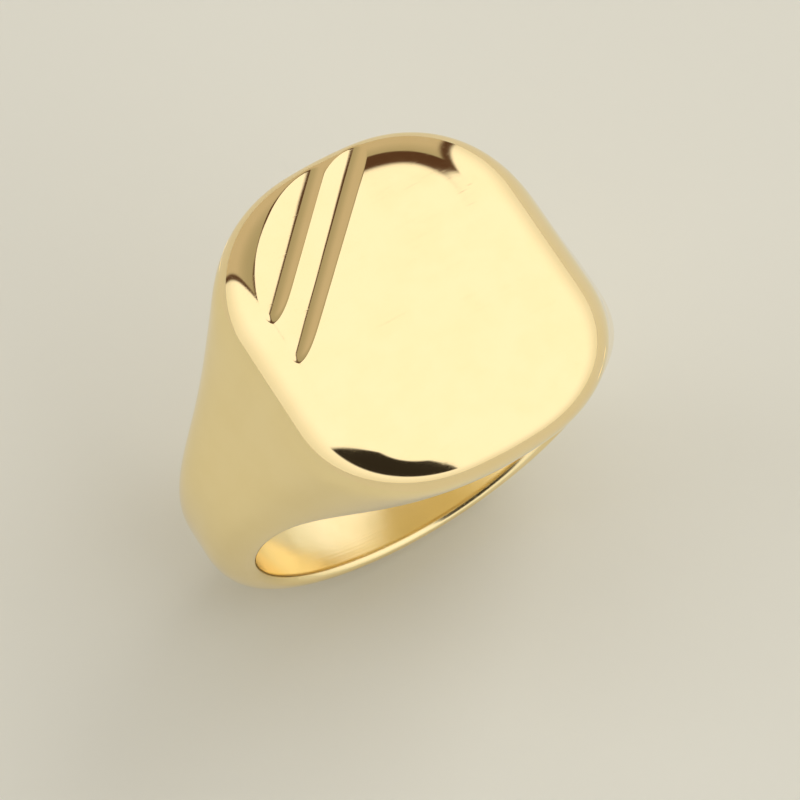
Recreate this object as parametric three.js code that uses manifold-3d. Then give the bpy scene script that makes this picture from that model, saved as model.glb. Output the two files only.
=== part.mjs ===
// A gentleman's cushion signet ring in yellow gold, built hollow from soldered pieces.
// Millimetres. Origin at the centre of the finger bore, +Z up through the flat face,
// Y along the finger with -Y the front, X across the finger from shoulder to shoulder.

import * as THREE from 'three';
import { ParametricGeometry } from 'three/addons/geometries/ParametricGeometry.js';
import { mergeVertices } from 'three/addons/utils/BufferGeometryUtils.js';
import Module from 'manifold-3d';

// Finger bore and band
const BORE_R = 9.9;            // inside radius, US size 10
const LINER_R = 10.6;          // outside radius of the inner sleeve
const BAND_R = 11.8;           // outside radius of the band
const BAND_HALF_WIDTH = 3.0;   // half the band's width, opposite the face
const BAND_CROWN = 2.3;        // rounding of the band's outer edges
const BORE_EDGE = 0.45;        // rounding of the sleeve's two mouths

// Head
const FACE_Z = 13.8;           // height of the flat face above the bore's axis
const HEAD_HALF_X = 7.65;      // half the head across the finger
const HEAD_HALF_Y = 9.55;      // half the head along the finger, at the face
const SIDE_DRAFT = 0.72;       // how fast the sides draw in below the face, 1 is to nothing at Z = 0
const CORNER_R = 6.0;          // rounding of the four corners of the cushion outline
const CORNER_POWER = 2.4;      // its superellipse exponent, 2 is a circular corner
const EDGE_R = 3.0;            // rounding from the flat face into the sides
const EDGE_POWER = 2.95;       // its exponent, so the face stays flat until near its edge
const TAPER_END = 116 * Math.PI / 180;    // angle from the face where the width is down to the band's
const PLATE_T = 1.3;           // thickness of the face plate
const WALL_T = 1.0;            // thickness of the hollow head's walls

// Flutes carved across the corner of the face at the back left
const FLUTES = [               // inner ridge's distance from the centre, width, depth and how far
  { start: 3.95, width: 1.7, depth: 0.30, lean: 1.1 },   // its bottom leans to the inside, 1 is none
  { start: 5.65, width: 2.5, depth: 0.28, lean: 2.0 },
];
const FLUTE_FALL = 0.012;      // how fast they deepen along their length, towards +X +Y
const FLUTE_MIDDLE = 1.5;      // where along them the depth is as given
const FLUTE_TURN = 135 * Math.PI / 180;   // direction of that corner, from +X towards +Y

// Solder joints
const HEAD_END = 47 * Math.PI / 180;      // joint of head and shoulder, from the face
const SHOULDER_END = 88 * Math.PI / 180;  // joint of shoulder and shank
const SEAM = 0.03;                        // clearance filled by the solder

// ---- The outer skin, as a signed value that is negative inside the gold ----

const TANGENT_ANGLE = Math.atan2(HEAD_HALF_X, FACE_Z)
  + Math.acos(BAND_R / Math.hypot(HEAD_HALF_X, FACE_Z));
const TANGENT_SOFTNESS = 0.12;

// The two values' common boundary, with the corner between them rounded.
function roundedBoth(a, b, radius, power) {
  const u = Math.max(a + radius, 0);
  const v = Math.max(b + radius, 0);
  return Math.min(Math.max(a, b), -radius)
    + Math.pow(Math.pow(u, power) + Math.pow(v, power), 1 / power);
}

// 1 at the head, 0 at the band; angle is measured round the bore from the face.
function headShare(angle) {
  return (1 + Math.cos(Math.PI * Math.min(angle / TAPER_END, 1))) / 2;
}

function skin(x, y, z) {
  const angle = Math.atan2(Math.abs(x), z);
  const share = headShare(angle);
  const past = TANGENT_SOFTNESS
    * Math.log1p(Math.exp((TANGENT_ANGLE - angle) / TANGENT_SOFTNESS));
  const shoulder = Math.hypot(x, z) * Math.cos(past) - BAND_R;
  const draft = Math.max(1 - SIDE_DRAFT * Math.max(FACE_Z - z, 0) / FACE_Z, 0);
  const side = Math.abs(y) - THREE.MathUtils.lerp(BAND_HALF_WIDTH, HEAD_HALF_Y, share * draft);
  const crown = THREE.MathUtils.lerp(BAND_CROWN, CORNER_R, share);
  const outline = roundedBoth(shoulder, side, crown, CORNER_POWER);
  return roundedBoth(z - FACE_Z, outline, EDGE_R, EDGE_POWER);
}

function liner(x, y, z) {
  return roundedBoth(skin(x, y, z), BORE_R - Math.hypot(x, z), BORE_EDGE, 2);
}

// ---- Lofting closed cross-sections round the bore ----

const at = (angle, y, r) => new THREE.Vector3(r * Math.sin(angle), y, r * Math.cos(angle));

// Distance from a start point, in a section plane, to the boundary of a solid.
function reach(solid, angle, y, r, dy, dr) {
  let near = 0;
  let far = 30;
  for (let i = 0; i < 42; i++) {
    const middle = (near + far) / 2;
    const p = at(angle, y + middle * dy, r + middle * dr);
    if (solid(p.x, p.y, p.z) < 0) near = middle;
    else far = middle;
  }
  return near;
}

// The section of a wall that stands on a cylinder of radius `base`, as [y, r] points:
// `over` steps across the skin from back to front, then `under` steps back along the base.
function wallSection(solid, base, angle, over, under) {
  const width = reach(solid, angle, 0, base, 1, 0);
  const height = reach(solid, angle, 0, base, 0, 1);
  const points = [];
  for (let i = 0; i <= over; i++) {
    const turn = Math.PI * i / over;
    const dy = width * Math.cos(turn);
    const dr = height * Math.sin(turn);
    const size = Math.hypot(dy, dr);
    const d = reach(solid, angle, 0, base, dy / size, dr / size);
    points.push([d * dy / size, base + d * dr / size]);
  }
  for (let i = 1; i < under; i++) points.push([THREE.MathUtils.lerp(-width, width, i / under), base]);
  return points;
}

// A solid from the closed sections at evenly spaced angles: a full ring, or one with a flat cap
// at each end, whose triangles meet at the middle of the section.
function loft(sectionAt, from, to, steps, full = false) {
  const ringAt = (angle) => sectionAt(angle).map(([y, r]) => at(angle, y, r));
  const rings = [];
  for (let i = 0; i <= steps; i++) rings.push(ringAt(THREE.MathUtils.lerp(from, to, i / steps)));
  if (full) {
    rings[steps] = rings[0];
  } else {
    const middle = (ring) => ring.reduce((sum, p) => sum.add(p), new THREE.Vector3())
      .divideScalar(ring.length);
    const cap = (ring) => ring.map(() => middle(ring));
    rings.unshift(cap(rings[0]));
    rings.push(cap(rings[steps + 1]));
  }
  const around = rings[0].length;
  const along = rings.length - 1;
  return closed(new ParametricGeometry((u, v, target) => {
    target.copy(rings[Math.round(u * along)][Math.round(v * around) % around]);
  }, along, around));
}

// Shared vertices merged and empty triangles dropped, so that the surface is watertight.
function closed(geometry) {
  geometry.deleteAttribute('normal');
  geometry.deleteAttribute('uv');
  const merged = mergeVertices(geometry, 1e-5);
  const index = merged.index.array;
  const kept = [];
  for (let i = 0; i < index.length; i += 3) {
    const [a, b, c] = [index[i], index[i + 1], index[i + 2]];
    if (a !== b && b !== c && c !== a) kept.push(a, b, c);
  }
  merged.setIndex(kept);
  return merged;
}

// ---- Solids for cutting ----

const wasm = await Module();
wasm.setup();

function toSolid(geometry) {
  const g = closed(geometry);
  const build = (index) => new wasm.Manifold(new wasm.Mesh({
    numProp: 3,
    vertProperties: new Float32Array(g.attributes.position.array),
    triVerts: new Uint32Array(index),
  }));
  const solid = build(g.index.array);
  return solid.volume() > 0 ? solid : build(Array.from(g.index.array).reverse());
}

function toGeometry(solid) {
  const mesh = solid.getMesh();
  const geometry = new THREE.BufferGeometry();
  geometry.setAttribute('position', new THREE.BufferAttribute(new Float32Array(mesh.vertProperties), 3));
  geometry.setIndex(new THREE.BufferAttribute(new Uint32Array(mesh.triVerts), 1));
  geometry.computeVertexNormals();
  return geometry;
}

const box = (sx, sy, sz, x, y, z) => toSolid(new THREE.BoxGeometry(sx, sy, sz).translate(x, y, z));

// ---- Head: one block of the skin, split into the face plate and the wall under it ----

const wallOf = (solid, base, over, under) => (angle) => wallSection(solid, base, angle, over, under);

const block = toSolid(loft(wallOf(skin, LINER_R + SEAM, 40, 8), -HEAD_END, HEAD_END, 30));
const plateUnder = FACE_Z - PLATE_T;

const inner = (x, y, z) => skin(x, y, z) + WALL_T;
const coreEnd = HEAD_END - WALL_T / BAND_R;
const core = toSolid(loft(wallOf(inner, LINER_R - 0.5, 28, 8), -coreEnd, coreEnd, 22));

const above = box(40, 40, 10, 0, 0, plateUnder + 5);
const below = box(40, 40, 20, 0, 0, plateUnder - SEAM - 10);

// One flute: a scoop, steep next to its ridge and rising gently to the next one. Its two sides
// carry on above the face, because it runs in at a slight angle and deepens along its length.
function fluteCutter({ start, width, depth, lean }) {
  const outline = new THREE.Shape();
  const shape = (t) => t * Math.pow(1 - t, lean);
  const scoop = (t) => depth * shape(t) / shape(1 / (1 + lean));
  const steps = 10;
  outline.moveTo(start - 0.8, 2);
  outline.lineTo(start - 0.8, 0.64);
  for (let i = 0; i <= steps; i++) outline.lineTo(start + width * i / steps, -scoop(i / steps));
  outline.lineTo(start + width + 2, 0.6);
  outline.lineTo(start + width + 2, 2);
  outline.closePath();
  const cutter = new THREE.ExtrudeGeometry(outline, { depth: 40, bevelEnabled: false });
  cutter.translate(0, 0, -20).rotateX(Math.atan(FLUTE_FALL)).translate(0, 0, FLUTE_MIDDLE);
  return toSolid(cutter.rotateX(Math.PI / 2).rotateZ(FLUTE_TURN).translate(0, 0, FACE_Z));
}

let plate = block.intersect(above);
for (const flute of FLUTES) plate = plate.subtract(fluteCutter(flute));
const headWall = block.intersect(below).subtract(core);

// ---- Inner sleeve: a full ring between the bore and LINER_R ----

// One side of the sleeve from its outside edge round the mouth to the bore, then mirrored.
function sleeveSection(angle) {
  const side = [LINER_R, BORE_R + 0.45, BORE_R + 0.2, BORE_R + 0.06].map(
    (r) => [reach(liner, angle, 0, r, 1, 0), r]);
  side.push([side[0][0] - 0.5, BORE_R]);
  const back = side.map(([y, r]) => [-y, r]).reverse();
  return [...side, [0, BORE_R], ...back, [0, LINER_R]];
}

const sleeve = loft(sleeveSection, 0, 2 * Math.PI, 96, true);

// ---- Shoulders and shank ----

const joint = SEAM / BAND_R;   // angle left open at a radial joint
const wall = wallOf(skin, LINER_R + SEAM, 26, 6);
const leftShoulder = loft(wall, -HEAD_END - joint, -SHOULDER_END + joint, 12);
const rightShoulder = loft(wall, HEAD_END + joint, SHOULDER_END - joint, 12);
const shank = loft(wall, SHOULDER_END + joint, 2 * Math.PI - SHOULDER_END - joint, 48);

// ---- The assembly ----

const gold = () => new THREE.MeshStandardMaterial({ color: 0xe8c66a, metalness: 1, roughness: 0.12 });

const group = new THREE.Group();
function add(name, geometry) {
  const mesh = new THREE.Mesh(geometry, gold());
  mesh.name = name;
  group.add(mesh);
}

add('face_plate', toGeometry(plate));
add('head_wall', toGeometry(headWall));
add('left_shoulder', toGeometry(toSolid(leftShoulder)));
add('right_shoulder', toGeometry(toSolid(rightShoulder)));
add('shank', toGeometry(toSolid(shank)));
add('inner_sleeve', toGeometry(toSolid(sleeve)));

export default group;
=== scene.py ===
# A yellow gold cushion signet ring with a fluted corner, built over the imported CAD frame.
# Bore centre at the origin, +Z through the face, Y along the finger. The ring's sizes are in
# millimetres; the frame, the floor, the light and the camera are in metres.

import math

import bpy
import numpy as np
from mathutils import Matrix, Vector


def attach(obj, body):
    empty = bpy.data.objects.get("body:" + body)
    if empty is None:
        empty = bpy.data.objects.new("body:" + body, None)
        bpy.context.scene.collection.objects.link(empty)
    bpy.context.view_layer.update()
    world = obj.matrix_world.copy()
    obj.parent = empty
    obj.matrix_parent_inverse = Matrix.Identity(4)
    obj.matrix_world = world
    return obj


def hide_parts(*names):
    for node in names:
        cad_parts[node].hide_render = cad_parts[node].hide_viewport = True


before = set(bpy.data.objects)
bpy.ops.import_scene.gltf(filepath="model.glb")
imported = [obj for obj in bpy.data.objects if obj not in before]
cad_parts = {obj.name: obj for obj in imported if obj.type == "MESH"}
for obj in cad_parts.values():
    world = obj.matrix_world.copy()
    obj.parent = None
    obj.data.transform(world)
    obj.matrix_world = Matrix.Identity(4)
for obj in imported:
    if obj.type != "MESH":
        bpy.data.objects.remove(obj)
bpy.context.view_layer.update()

MM = 0.001

# Ring dimensions in millimetres, the same as the CAD model's; angles run round the finger from the face
BORE_R = 9.9
LINER_R = 10.6          # outside of the sleeve, inside of the other pieces
BAND_R = 11.8
BAND_HALF_WIDTH = 3.0
BAND_CROWN = 2.3
BORE_EDGE = 0.45
FACE_Z = 13.8
HEAD_HALF_X = 7.65
HEAD_HALF_Y = 9.55
CORNER_R = 6.0
CORNER_POWER = 2.4
EDGE_R = 3.0
EDGE_POWER = 2.95
TAPER_END = math.radians(116)   # from here down the band is as narrow as it gets
SIDE_DRAFT = 0.72       # how far the head's front and back lean in towards the finger
PLATE_T = 1.3
WALL_T = 1.0
TANGENT_SOFTNESS = 0.12
HEAD_END = math.radians(47)
SHOULDER_END = math.radians(88)

# Flutes across the back left corner of the face: the inner ridge's distance from the middle of the
# face, the width, the depth, and how far the bottom leans to the inside
FLUTES = ((3.95, 1.7, 0.30, 1.1), (5.65, 2.5, 0.28, 2.0))
FLUTE_FALL = 0.012      # how fast they deepen along their length
FLUTE_MIDDLE = 1.5      # where along them the depth is as given
FLUTE_INNER_RISE = 0.8  # how steeply a flute's two sides carry on above the face
FLUTE_OUTER_RISE = 0.3
RIDGE_ROUNDING = 0.05

PLATE_BACK_Z = FACE_Z - PLATE_T
# where the shoulder's straight side leaves the round band
TANGENT_ANGLE = math.atan2(HEAD_HALF_X, FACE_Z) + math.acos(BAND_R / math.hypot(HEAD_HALF_X, FACE_Z))
ROOT_2 = math.sqrt(2)

# Mesh steps: how many along a piece and over it, and the plate's lines in millimetres
FINE = 1.0
SHOULDER_STEPS = (110, 150)
BAND_STEPS = (420, 110)
HEAD_STEPS = (260, 260)
CORE_STEPS = 90
SLEEVE_STEPS = 540
PLATE_LINES = 300
PLATE_LINE_STEPS = 240
RIM_SAMPLES = 2880
RIDGE_BEFORE = 0.35     # the stretch on each side of a ridge that has its lines closest
RIDGE_AFTER = 0.45
RIDGE_LINE_GAP = 0.022
FLUTE_LINES_PER_MM = 22
LEAST_LINE_GAP = 0.012


def steps(count):
    return int(count * FINE)


# ---- The outer skin, negative inside the gold; the arguments are arrays of millimetres ----

def rounded_both(a, b, radius, power):
    """Where both a and b are negative, with the edge between them rounded as a superellipse."""
    u = np.maximum(a + radius, 0)
    v = np.maximum(b + radius, 0)
    return np.minimum(np.maximum(a, b), -radius) + (u ** power + v ** power) ** (1 / power)


def skin(p):
    """The whole ring without its bore: band, shoulders and head, with the face on top."""
    x, y, z = p[..., 0], p[..., 1], p[..., 2]
    angle = np.arctan2(np.abs(x), z)
    share = (1 + np.cos(np.pi * np.minimum(angle / TAPER_END, 1))) / 2
    past = TANGENT_SOFTNESS * np.log1p(np.exp((TANGENT_ANGLE - angle) / TANGENT_SOFTNESS))
    shoulder = np.hypot(x, z) * np.cos(past) - BAND_R
    draft = np.maximum(1 - SIDE_DRAFT * np.maximum(FACE_Z - z, 0) / FACE_Z, 0)
    side = np.abs(y) - (BAND_HALF_WIDTH + (HEAD_HALF_Y - BAND_HALF_WIDTH) * share * draft)
    crown = BAND_CROWN + (CORNER_R - BAND_CROWN) * share
    outline = rounded_both(shoulder, side, crown, CORNER_POWER)
    return rounded_both(z - FACE_Z, outline, EDGE_R, EDGE_POWER)


def sleeve_skin(p):
    """The ring with its bore, whose mouths are rounded."""
    return rounded_both(skin(p), BORE_R - np.hypot(p[..., 0], p[..., 2]), BORE_EDGE, 2)


def core_skin(p):
    """The hollow inside the head."""
    return skin(p) + WALL_T


def slope(field, p, step=0.004):
    """Unit normals of a field's level surfaces."""
    n = np.stack([field(p + d) - field(p - d) for d in np.eye(3) * step], axis=-1)
    return n / np.maximum(np.linalg.norm(n, axis=-1, keepdims=True), 1e-12)


def at(angle, y, r):
    """Points round the finger: angle 0 is at the face, +X at a quarter turn."""
    return np.stack([r * np.sin(angle), y + 0 * r * angle, r * np.cos(angle)], axis=-1)


def reach(field, start, direction, far=30.0, halvings=46):
    """How far each start point is from the field's boundary along its direction."""
    low = np.zeros(start.shape[:-1])
    high = np.full(start.shape[:-1], far)
    for _ in range(halvings):
        middle = (low + high) / 2
        inside = field(start + middle[..., None] * direction) < 0
        low = np.where(inside, middle, low)
        high = np.where(inside, high, middle)
    return low


# ---- Meshes ----

def make(name, points, faces, normal_of):
    """An object from millimetre points, with the normals that finish_normals gives it."""
    mesh = bpy.data.meshes.new(name)
    mesh.from_pydata((points * MM).tolist(), [], [list(map(int, f)) for f in faces])
    mesh.validate()
    piece = bpy.data.objects.new(name, mesh)
    bpy.context.collection.objects.link(piece)
    finish_normals(piece, normal_of)
    return piece


def finish_normals(piece, normal_of, close=2e-3):
    """Exact normals on the faces whose corners all lie where a field is zero, flat ones elsewhere.

    normal_of lists each field with the function of its normals, or None for the field's own slope.
    """
    mesh = piece.data
    n_v, n_p, n_l = len(mesh.vertices), len(mesh.polygons), len(mesh.loops)
    co = np.empty(n_v * 3)
    mesh.vertices.foreach_get("co", co)
    p = co.reshape(-1, 3) / MM
    flat = np.empty(n_p * 3)
    mesh.polygons.foreach_get("normal", flat)
    flat = flat.reshape(-1, 3)
    start = np.empty(n_p, dtype=np.int32)
    total = np.empty(n_p, dtype=np.int32)
    mesh.polygons.foreach_get("loop_start", start)
    mesh.polygons.foreach_get("loop_total", total)
    corner = np.empty(n_l, dtype=np.int32)
    mesh.loops.foreach_get("vertex_index", corner)
    face_of = np.repeat(np.arange(n_p), total)
    normals = flat[face_of].copy()
    for field, exact in normal_of:
        on = np.abs(field(p)) < close
        exact = slope(field, p) if exact is None else exact(p)
        face_on = np.ones(n_p, dtype=bool)
        np.logical_and.at(face_on, face_of, on[corner])
        agree = (flat[face_of] * exact[corner]).sum(1) > 0.5
        use = face_on[face_of] & agree
        normals[use] = exact[corner][use]
    mesh.polygons.foreach_set("use_smooth", np.ones(n_p, dtype=bool))
    mesh.normals_split_custom_set(normals.tolist())
    mesh.update()


def grid_faces(rows, columns, offset=0, close_columns=False):
    """Quads over a grid of points that is stored row by row."""
    faces = []
    last = columns if close_columns else columns - 1
    for i in range(rows - 1):
        a = offset + i * columns
        b = a + columns
        for j in range(last):
            k = (j + 1) % columns
            faces.append((a + j, a + k, b + k, b + j))
    return faces


def merged(points, faces, digits=6):
    """Points that coincide become one, and faces keep only their distinct corners."""
    keys = {}
    index = np.empty(len(points), dtype=int)
    kept = []
    for i, p in enumerate(np.round(points, digits).tolist()):
        index[i] = keys.setdefault(tuple(p), len(kept))
        if index[i] == len(kept):
            kept.append(points[i])
    out = []
    for f in faces:
        g = [index[i] for i in f]
        g = [v for n, v in enumerate(g) if v != g[n - 1]]
        if len(g) > 2:
            out.append(g)
    return np.array(kept), out


def wall(field, base, start, end, along, over):
    """A closed piece of wall that stands on the cylinder of radius `base` between two angles."""
    angle = np.linspace(start, end, along)[:, None]
    zero = np.zeros((along, 1))
    foot = at(angle, zero, zero + base)
    across = np.broadcast_to(np.array([0.0, 1.0, 0.0]), foot.shape)
    up = at(angle, zero, zero + 1)
    width = reach(field, foot, across)[..., None]
    height = reach(field, foot, up)[..., None]
    turn = np.linspace(0, np.pi, over)[None, :, None]
    direction = width * np.cos(turn) * across + height * np.sin(turn) * up
    direction = direction / np.linalg.norm(direction, axis=-1, keepdims=True)
    origin = np.broadcast_to(foot, direction.shape)
    top = origin + reach(field, origin, direction)[..., None] * direction
    share = np.linspace(1, -1, over)[None, :, None]
    bottom = foot + share * width * across
    n = along * over
    points = np.concatenate([top.reshape(-1, 3), bottom.reshape(-1, 3)])
    faces = grid_faces(along, over)
    faces += [f[::-1] for f in grid_faces(along, over, n)]
    for row, flip in ((0, False), (along - 1, True)):
        for j in range(over - 1):
            a = row * over + j
            f = (a, n + a, n + a + 1, a + 1)
            faces.append(f[::-1] if flip else f)
    return merged(points, faces)


def smooth_minimum(a, b, k):
    """The lower of two heights, blended where they differ by less than k."""
    h = np.clip(0.5 + 0.5 * (b - a) / k, 0, 1)
    return b + (a - b) * h - k * h * (1 - h)


def flute_floor(c, along, start, width, depth, lean):
    """Height of one flute's surface above the face; its two sides carry on upward."""
    t = (c - start) / width
    inside = np.clip(t, 0, 1)
    lowest = 1 / (1 + lean)
    scoop = depth * inside * (1 - inside) ** lean / (lowest * (1 - lowest) ** lean)
    rise = width * (np.maximum(-t, 0) * FLUTE_INNER_RISE + np.maximum(t - 1, 0) * FLUTE_OUTER_RISE)
    return rise - scoop - (along - FLUTE_MIDDLE) * FLUTE_FALL


def face_height(x, y, spare=0.01):
    """Height of the finished face plate's top surface."""
    start = np.stack([x, y, np.full_like(x, PLATE_BACK_Z - spare)], axis=-1)
    up = np.broadcast_to(np.array([0.0, 0.0, 1.0]), start.shape)
    z = PLATE_BACK_Z - spare + reach(skin, start, up, PLATE_T + 2 * spare)
    c, along = (y - x) / ROOT_2, (y + x) / ROOT_2
    for flute in FLUTES:
        z = smooth_minimum(z, FACE_Z + flute_floor(c, along, *flute), RIDGE_ROUNDING)
    return z


def outline_reach(x, y, dx, dy):
    """How far the plate's outline is from each point of its back along a level direction."""
    start = np.stack([x, y, np.full_like(x, PLATE_BACK_Z)], axis=-1)
    direction = np.stack([dx + 0 * x, dy + 0 * x, 0 * x], axis=-1)
    return reach(skin, start, direction)


def plate_lines(c_max):
    """How far across the flutes each line lies; the lines are closest at the ridges."""
    lines = [c_max * math.sin(t) for t in np.linspace(-np.pi / 2, np.pi / 2, steps(PLATE_LINES) | 1)]
    for ridge, width, *_ in FLUTES:
        lines += list(np.arange(ridge - RIDGE_BEFORE, ridge + RIDGE_AFTER, RIDGE_LINE_GAP / FINE))
        lines += list(np.linspace(ridge + RIDGE_AFTER, ridge + width - RIDGE_BEFORE,
                                  int(FLUTE_LINES_PER_MM * width * FINE)))
    lines = np.array(sorted(lines))
    keep = np.concatenate([[True], np.diff(lines) > LEAST_LINE_GAP])
    c = lines[keep]
    c[-1] = c_max
    return c[1:-1]


def face_plate():
    """The plate on lines that run along the flutes, so that each ridge is a row of edges."""
    turn = np.linspace(0, 2 * np.pi, RIM_SAMPLES, endpoint=False)
    rim = outline_reach(0 * turn, 0 * turn, np.cos(turn), np.sin(turn))
    c_rim = rim * (np.sin(turn) - np.cos(turn)) / ROOT_2
    s_rim = rim * (np.sin(turn) + np.cos(turn)) / ROOT_2
    top = np.argmax(c_rim)
    c_max, s_top = c_rim[top], s_rim[top]
    c = plate_lines(c_max)
    middle = s_top * c / c_max
    x0, y0 = (middle - c) / ROOT_2, (middle + c) / ROOT_2
    h = math.sqrt(0.5)
    ahead = outline_reach(x0, y0, h, h)
    behind = outline_reach(x0, y0, -h, -h)
    u = np.sin(np.linspace(-np.pi / 2, np.pi / 2, steps(PLATE_LINE_STEPS) | 1))[None, :]
    s = middle[:, None] + np.where(u > 0, ahead[:, None], behind[:, None]) * u
    x, y = (s - c[:, None]) / ROOT_2, (s + c[:, None]) / ROOT_2
    z = face_height(x, y)
    z[:, 0] = z[:, -1] = PLATE_BACK_Z
    rows, columns = x.shape
    points = np.stack([x, y, z], axis=-1).reshape(-1, 3)
    far_end, near_end = rows * columns, rows * columns + 1
    ends = np.array([[(s_top - c_max) * h, (s_top + c_max) * h, PLATE_BACK_Z],
                     [(c_max - s_top) * h, -(s_top + c_max) * h, PLATE_BACK_Z]])
    last_row = (rows - 1) * columns
    faces = grid_faces(rows, columns)
    for j in range(columns - 1):
        faces.append((near_end, j + 1, j))
        faces.append((far_end, last_row + j, last_row + j + 1))
    # underneath: one flat strip between each pair of lines
    for i in range(rows - 1):
        a, b = i * columns, (i + 1) * columns
        faces.append((a, b, b + columns - 1, a + columns - 1))
    faces.append((near_end, 0, columns - 1))
    faces.append((far_end, last_row + columns - 1, last_row))
    return np.concatenate([points, ends]), faces


def face_field(p, close=1e-4):
    """Zero on all of the plate; its flat back is told from its top by which way the faces point."""
    return np.where(p[..., 2] > PLATE_BACK_Z - close, 0.0, 1.0)


def face_normal(p, step=0.003, rim_height=0.02):
    """Normals of the plate's top, and of the skin at the plate's rim, where the top is steep."""
    x, y = p[:, 0], p[:, 1]
    dx = (face_height(x + step, y) - face_height(x - step, y)) / (2 * step)
    dy = (face_height(x, y + step) - face_height(x, y - step)) / (2 * step)
    n = np.stack([-dx, -dy, np.ones_like(dx)], axis=-1)
    n /= np.linalg.norm(n, axis=-1, keepdims=True)
    rim = p[:, 2] < PLATE_BACK_Z + rim_height
    n[rim] = slope(skin, p[rim])
    return n


def mark_edges(piece, field, step=0.03, least_bend=0.15, bend_range=0.6):
    """Stores how sharply the surface bends at each point, for wear: 0 flat, 1 at the tightest."""
    co = np.empty(len(piece.data.vertices) * 3)
    piece.data.vertices.foreach_get("co", co)
    p = co.reshape(-1, 3) / MM
    bend = sum((slope(field, p + d)[:, i] - slope(field, p - d)[:, i]) / (2 * step)
               for i, d in enumerate(np.eye(3) * step))
    share = np.clip((np.abs(bend) - least_bend) / bend_range, 0, 1)
    piece.data.attributes.new("edge", "FLOAT", "POINT").data.foreach_set("value", share)


SKIN = (skin, None)

plate = make("face_plate_polished", *face_plate(), [(face_field, face_normal)])
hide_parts("face_plate")
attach(plate, "root")

left = make("left_shoulder_polished",
            *wall(skin, LINER_R, -SHOULDER_END, -HEAD_END, *map(steps, SHOULDER_STEPS)), [SKIN])
right = make("right_shoulder_polished",
             *wall(skin, LINER_R, HEAD_END, SHOULDER_END, *map(steps, SHOULDER_STEPS)), [SKIN])
band = make("shank_polished",
            *wall(skin, LINER_R, SHOULDER_END, 2 * math.pi - SHOULDER_END, *map(steps, BAND_STEPS)),
            [SKIN])
for piece, node in ((left, "left_shoulder"), (right, "right_shoulder"), (band, "shank")):
    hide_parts(node)
    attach(piece, "root")


def head_wall(past=0.5, lid_half=15, lid_top=5):
    """The block of skin below the plate, hollowed by its core, which runs past its open side."""
    block = make("head_wall_polished",
                 *wall(skin, LINER_R, -HEAD_END, HEAD_END, *map(steps, HEAD_STEPS)), [SKIN])
    core_end = HEAD_END - WALL_T / BAND_R
    core = make("head_core",
                *wall(core_skin, LINER_R - past, -core_end, core_end, CORE_STEPS, CORE_STEPS), [])
    lid = make("head_lid", *box_mesh((-lid_half, -lid_half, PLATE_BACK_Z),
                                     (lid_half, lid_half, FACE_Z + lid_top)), [])
    for cutter in (lid, core):
        cut = block.modifiers.new("cut", "BOOLEAN")
        cut.operation = "DIFFERENCE"
        cut.solver = "MANIFOLD"
        cut.object = cutter
    bpy.context.view_layer.update()
    cut_block = block.evaluated_get(bpy.context.evaluated_depsgraph_get())
    result = bpy.data.meshes.new_from_object(cut_block)
    block.modifiers.clear()
    block.data = result
    for cutter in (lid, core):
        bpy.data.objects.remove(cutter)
    finish_normals(block, [SKIN])
    return block


def box_mesh(low, high):
    (x0, y0, z0), (x1, y1, z1) = low, high
    points = np.array([(x0, y0, z0), (x1, y0, z0), (x1, y1, z0), (x0, y1, z0),
                       (x0, y0, z1), (x1, y0, z1), (x1, y1, z1), (x0, y1, z1)], dtype=float)
    faces = [(0, 3, 2, 1), (4, 5, 6, 7), (0, 1, 5, 4), (1, 2, 6, 5), (2, 3, 7, 6), (3, 0, 4, 7)]
    return points, faces


head = head_wall()
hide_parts("head_wall")
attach(head, "root")


# How far from the bore each point of a sleeve's section lies as it rounds the mouth
MOUTH_DROPS = (0.7, 0.6, 0.5, 0.42, 0.34, 0.27, 0.2, 0.14, 0.09, 0.05, 0.022, 0.006)
BORE_HALF_STEPS = 10
SLEEVE_BACK_STEPS = 8


def inner_sleeve(around):
    """Sections round the finger: from the outer edge round the mouth to the bore, mirrored."""
    angle = np.linspace(0, 2 * np.pi, around, endpoint=False)[:, None]
    zero = np.zeros((around, 1))
    across = np.array([0.0, 1.0, 0.0])
    r = BORE_R + np.array(MOUTH_DROPS)[None, :] + zero
    origin = at(angle, zero, r)
    y = reach(sleeve_skin, origin, np.broadcast_to(across, origin.shape))
    y[:, 0] = reach(skin, origin, np.broadcast_to(across, origin.shape))[:, 0]
    inner = (y[:, 1:2] - BORE_EDGE) * np.linspace(1, 0, BORE_HALF_STEPS)[None, :]
    half_y = np.concatenate([y, inner], axis=1)
    half_r = np.concatenate([r, BORE_R + 0 * inner], axis=1)
    back_y, back_r = -half_y[:, -2::-1], half_r[:, -2::-1]
    outer_y = -y[:, :1] * np.linspace(1, -1, SLEEVE_BACK_STEPS)[None, 1:-1]
    section_y = np.concatenate([half_y, back_y, outer_y], axis=1)
    section_r = np.concatenate([half_r, back_r, LINER_R + 0 * outer_y], axis=1)
    points = at(angle, section_y, section_r)
    points = np.concatenate([points, points[:1]])
    rows, columns = points.shape[:2]
    return merged(points.reshape(-1, 3), [f[::-1] for f in grid_faces(rows, columns, 0, True)])


sleeve = make("inner_sleeve_polished", *inner_sleeve(steps(SLEEVE_STEPS)), [(sleeve_skin, None)])
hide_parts("inner_sleeve")
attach(sleeve, "root")


# ---- Node helpers, for the materials and the studio ----

def feed(tree, socket, value):
    """Links an output to a socket, or sets the socket to a plain value."""
    if hasattr(value, "links"):
        tree.links.new(value, socket)
    else:
        socket.default_value = value


def node(tree, kind, inputs=(), output=0, **settings):
    """A node with its settings and its inputs, by number or name; returns one output."""
    made = tree.nodes.new(kind)
    for key, value in settings.items():
        setattr(made, key, value)
    for key, value in dict(inputs).items():
        feed(tree, made.inputs[key], value)
    return made.outputs[output]


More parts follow.
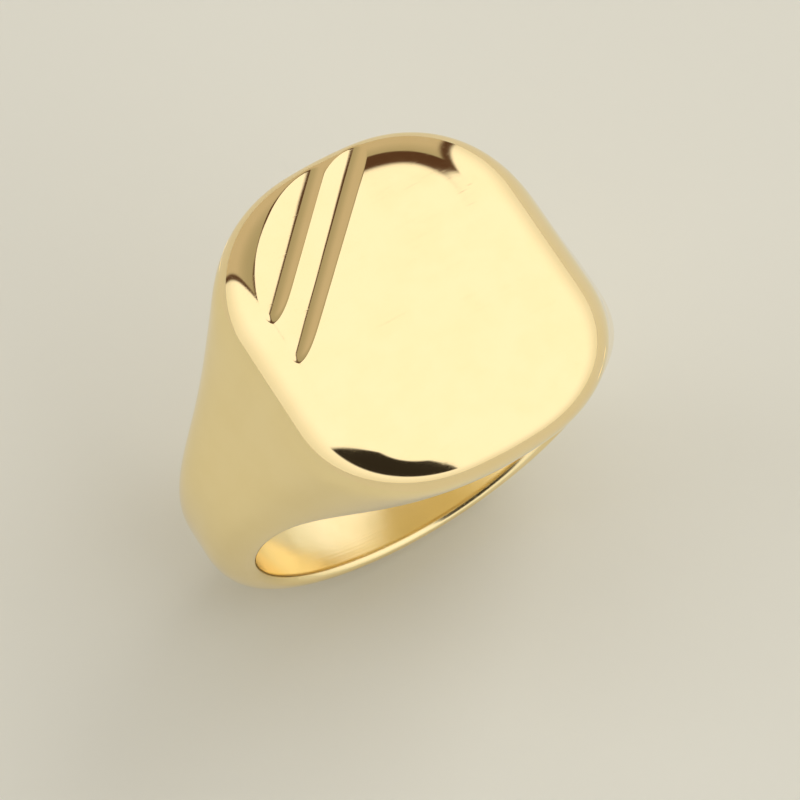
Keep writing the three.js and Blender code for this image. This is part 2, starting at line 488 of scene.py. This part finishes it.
def calc(tree, operation, *values):
    return node(tree, "ShaderNodeMath", enumerate(values), operation=operation)


def total(tree, *values):
    out = values[0]
    for value in values[1:]:
        out = calc(tree, "ADD", out, value)
    return out


def ramp(tree, value, low, high, out_low=0.0, out_high=1.0):
    """A smooth step from one output to the other between two values."""
    return node(tree, "ShaderNodeMapRange", {0: value, 1: low, 2: high, 3: out_low, 4: out_high},
                interpolation_type="SMOOTHSTEP")


def blend_color(tree, share, a, b):
    colors = {6: a, 7: b}
    colors = {k: (*c, 1) if isinstance(c, tuple) else c for k, c in colors.items()}
    return node(tree, "ShaderNodeMix", {0: share, **colors}, 2, data_type="RGBA")


# ---- Materials ----

# Hairlines: the turn of the lines, their length and pitch in millimetres, seed and rarity
HAIRLINES = (((0.2, 0.1, 0.75), 5.0, 0.10, 3.1, 0.66),
             ((-0.3, 0.2, 0.95), 3.5, 0.07, 7.7, 0.68),
             ((0.4, -0.5, -0.4), 4.0, 0.09, 12.3, 0.68),
             ((1.2, 0.5, 2.2), 2.5, 0.06, 17.9, 0.69))
HAIRLINE_EDGE = 0.10
# Heights in millimetres of the buffing wave, the fine grain, the hairlines and the bore's brushing
WAVE_HEIGHT = 0.012
GRAIN_HEIGHT = 0.00012
HAIRLINE_HEIGHT = -0.00018
BRUSH_HEIGHT = 0.0022
# Roughness added by hairlines, at worn edges and in the brushed bore
HAIRLINE_ROUGH = 0.05
EDGE_ROUGH = 0.04
BRUSH_ROUGH = 0.10
BRUSH_RINGS = 14.0      # how much finer the brushing is along the finger than round it
BRUSH_START = 0.16      # the brushing fades in over the mouth, between these heights above the bore
BRUSH_FULL = 0.02


def hairlines(tree, spot, turn, length, pitch, seed, rarity):
    """Thin straight polishing lines that run one way; 1 on a line and 0 between."""
    turned = node(tree, "ShaderNodeMapping", {0: spot, 1: (seed, seed * 2, seed * 3), 2: turn,
                                              3: (1 / length, 1 / pitch, 1 / pitch)})
    grain = node(tree, "ShaderNodeTexNoise", {"Vector": turned, "Scale": 1.0, "Detail": 1.0})
    return ramp(tree, grain, rarity, rarity + HAIRLINE_EDGE)


def brushing(tree, spot):
    """Brushing that runs round the bore, and how far inside the bore a point is, 0 to 1."""
    x, y, z = (node(tree, "ShaderNodeSeparateXYZ", {0: spot}, i) for i in range(3))
    angle = calc(tree, "ARCTAN2", x, z)
    square = calc(tree, "ADD", calc(tree, "MULTIPLY", x, x), calc(tree, "MULTIPLY", z, z))
    radius = calc(tree, "SQRT", square)
    wound = node(tree, "ShaderNodeCombineXYZ", {0: calc(tree, "COSINE", angle),
                                                1: calc(tree, "SINE", angle),
                                                2: calc(tree, "MULTIPLY", y, BRUSH_RINGS)})
    brush = node(tree, "ShaderNodeTexNoise", {"Vector": wound, "Scale": 1.6, "Detail": 3.0})
    inside = ramp(tree, radius, BORE_R + BRUSH_START, BORE_R + BRUSH_FULL)
    return calc(tree, "MULTIPLY", brush, inside), inside


def gold(name, color, deep, roughness, satin=False):
    """Polished yellow gold: a faint wave from the buffing wheel, hairlines and worn edges."""
    material = bpy.data.materials.new(name)
    material.use_nodes = True
    tree = material.node_tree
    shader = tree.nodes["Principled BSDF"]
    shader.inputs["Metallic"].default_value = 1.0
    metres = node(tree, "ShaderNodeTexCoord", output=3)
    spot = node(tree, "ShaderNodeVectorMath", {0: metres, 3: 1 / MM}, operation="SCALE")
    edge = node(tree, "ShaderNodeAttribute", output=2, attribute_name="edge")

    wave = node(tree, "ShaderNodeTexNoise", {"Vector": spot, "Scale": 0.30, "Detail": 1.0})
    cloud = node(tree, "ShaderNodeTexNoise", {"Vector": spot, "Scale": 0.55, "Detail": 4.0})
    fine = node(tree, "ShaderNodeTexNoise", {"Vector": spot, "Scale": 9.0, "Detail": 3.0})
    lines = total(tree, *(hairlines(tree, spot, *kind) for kind in HAIRLINES))
    worn = calc(tree, "MULTIPLY", lines, ramp(tree, cloud, 0.35, 0.65, 0.35, 1.0))
    worn = calc(tree, "MULTIPLY", worn, ramp(tree, edge, 0.0, 1.0, 1.0, 1.6))

    rough = total(tree, ramp(tree, cloud, 0.3, 0.7, roughness * 0.75, roughness * 1.35),
                  calc(tree, "MULTIPLY", worn, HAIRLINE_ROUGH), calc(tree, "MULTIPLY", edge, EDGE_ROUGH))
    height = total(tree, calc(tree, "MULTIPLY", wave, WAVE_HEIGHT),
                   calc(tree, "MULTIPLY", fine, GRAIN_HEIGHT),
                   calc(tree, "MULTIPLY", worn, HAIRLINE_HEIGHT))
    if satin:
        brush, inside = brushing(tree, spot)
        height = total(tree, height, calc(tree, "MULTIPLY", brush, BRUSH_HEIGHT))
        rough = total(tree, rough, calc(tree, "MULTIPLY", inside, BRUSH_ROUGH))
    feed(tree, shader.inputs["Roughness"], rough)
    tone = calc(tree, "MULTIPLY_ADD", worn, 0.25, ramp(tree, cloud, 0.3, 0.7, 0.0, 0.5))
    feed(tree, shader.inputs["Base Color"], blend_color(tree, tone, color, deep))
    bump = node(tree, "ShaderNodeBump", {"Height": height, "Distance": MM, "Strength": 1.0})
    feed(tree, shader.inputs["Normal"], bump)
    return material


face_gold = gold("gold_face", (0.97, 0.785, 0.45), (0.95, 0.76, 0.41), 0.045)
body_gold = gold("gold_body", (0.96, 0.795, 0.44), (0.93, 0.76, 0.40), 0.06)
bore_gold = gold("gold_bore", (0.97, 0.805, 0.46), (0.94, 0.77, 0.41), 0.08, satin=True)
for piece, material in ((plate, face_gold), (head, body_gold), (left, body_gold), (right, body_gold),
                        (band, body_gold), (sleeve, bore_gold)):
    piece.data.materials.clear()
    piece.data.materials.append(material)
    mark_edges(piece, sleeve_skin if piece is sleeve else skin)


# ---- Floor, light and camera ----

FLOOR_HALF = 1.5
KEY_HEADING = (75, 50)
KEY_DISTANCE = 0.5
CAMERA_AZIMUTH = math.radians(-38.5)
CAMERA_ELEVATION = math.radians(65.6)
CAMERA_ROLL = math.radians(7.6)
CAMERA_DISTANCE = 0.1991
LENS = 56.4
CLOSE_UP = 3.2          # how many times longer the lens is, to fill the frame with the ring
AIM = Vector((0, 0, 0.002))


def look_from(target, azimuth, elevation, distance):
    """Where a camera stands and how it turns to see the target; azimuth 0 is in front, at -Y."""
    back = Vector((math.sin(azimuth) * math.cos(elevation), -math.cos(azimuth) * math.cos(elevation),
                   math.sin(elevation)))
    return target + back * distance, (-back).to_track_quat("-Z", "Y")


floor_z = -BAND_R * MM
floor_corners = [(x * FLOOR_HALF, y * FLOOR_HALF, floor_z) for x, y in ((-1, -1), (1, -1), (1, 1), (-1, 1))]
floor_mesh = bpy.data.meshes.new("floor")
floor_mesh.from_pydata(floor_corners, [], [(0, 1, 2, 3)])
floor = bpy.data.objects.new("floor", floor_mesh)
bpy.context.collection.objects.link(floor)
floor_material = bpy.data.materials.new("floor")
floor_material.use_nodes = True
floor_shader = floor_material.node_tree.nodes["Principled BSDF"]
floor_shader.inputs["Base Color"].default_value = (0.79, 0.785, 0.715, 1)
floor_shader.inputs["Roughness"].default_value = 0.9
floor_mesh.materials.append(floor_material)

world = bpy.data.worlds.new("studio")
world.use_nodes = True
bpy.context.scene.world = world
sky = world.node_tree
direction = node(sky, "ShaderNodeTexCoord", output=0)


def heading(azimuth, elevation):
    """A unit vector, azimuth 0 along +Y and 90 along +X, in degrees."""
    a, e = math.radians(azimuth), math.radians(elevation)
    return (math.sin(a) * math.cos(e), math.cos(a) * math.cos(e), math.sin(e))


east, north, rise = (node(sky, "ShaderNodeSeparateXYZ", {0: direction}, i) for i in range(3))
azimuth = calc(sky, "DEGREES", calc(sky, "ARCTAN2", east, north))
elevation = calc(sky, "DEGREES", calc(sky, "ARCSINE", rise))


def panel(left, right, low, high, soft):
    """A soft-edged piece of the sky between two azimuths and two elevations, in degrees."""
    share = 1.0
    for value, start, end in ((azimuth, left, right), (elevation, low, high)):
        inside = calc(sky, "MULTIPLY", ramp(sky, value, start - soft, start + soft),
                      ramp(sky, value, end + soft, end - soft))
        share = calc(sky, "MULTIPLY", share, inside)
    return share


# A pale sky that is brighter overhead; behind the ring a tan card in a dark surround, whose right
# corner is cut off at a slant, and on the camera's side a dark card
UNDER_FLOOR = -10
color = blend_color(sky, ramp(sky, elevation, -1, 37), (0.90, 0.885, 0.80), (1.20, 1.17, 1.12))
tan = blend_color(sky, ramp(sky, elevation, 25, 57), (0.60, 0.52, 0.40), (0.43, 0.39, 0.28))
slant = ramp(sky, calc(sky, "ADD", azimuth, elevation), 103, 101)
surround = calc(sky, "MULTIPLY", panel(-42, 49, UNDER_FLOOR, 61, 1), slant)
for share, tint in ((surround, (0.10, 0.05, 0.03)),
                    (panel(-38, 16, UNDER_FLOOR, 58.5, 1), tan),
                    (panel(12, 45, UNDER_FLOOR, 49, 1), tan),
                    (panel(-184, -84, 27, 78, 2), (0.03, 0.025, 0.02))):
    color = blend_color(sky, share, color, tint)
feed(sky, sky.nodes["Background"].inputs["Color"], color)
bpy.context.scene.view_settings.view_transform = "Standard"

key = bpy.data.objects.new("key", bpy.data.lights.new("key", "AREA"))
bpy.context.collection.objects.link(key)
key.data.shape = "DISK"
key.data.size = 0.3
key.data.energy = 0.3
key.data.color = (1.0, 0.97, 0.92)
key.visible_glossy = False
key.location = Vector(heading(*KEY_HEADING)) * KEY_DISTANCE
key.rotation_mode = "QUATERNION"
key.rotation_quaternion = (-key.location).to_track_quat("-Z", "Y")

camera = bpy.data.objects.new("camera", bpy.data.cameras.new("camera"))
bpy.context.collection.objects.link(camera)
bpy.context.scene.camera = camera
camera.data.sensor_width = 36
camera.data.lens = LENS * CLOSE_UP
location, turn = look_from(AIM, CAMERA_AZIMUTH, CAMERA_ELEVATION, CAMERA_DISTANCE)
camera.location = location
camera.rotation_mode = "QUATERNION"
camera.rotation_quaternion = turn @ Matrix.Rotation(CAMERA_ROLL, 4, "Z").to_quaternion()
camera.data.clip_start = 0.01
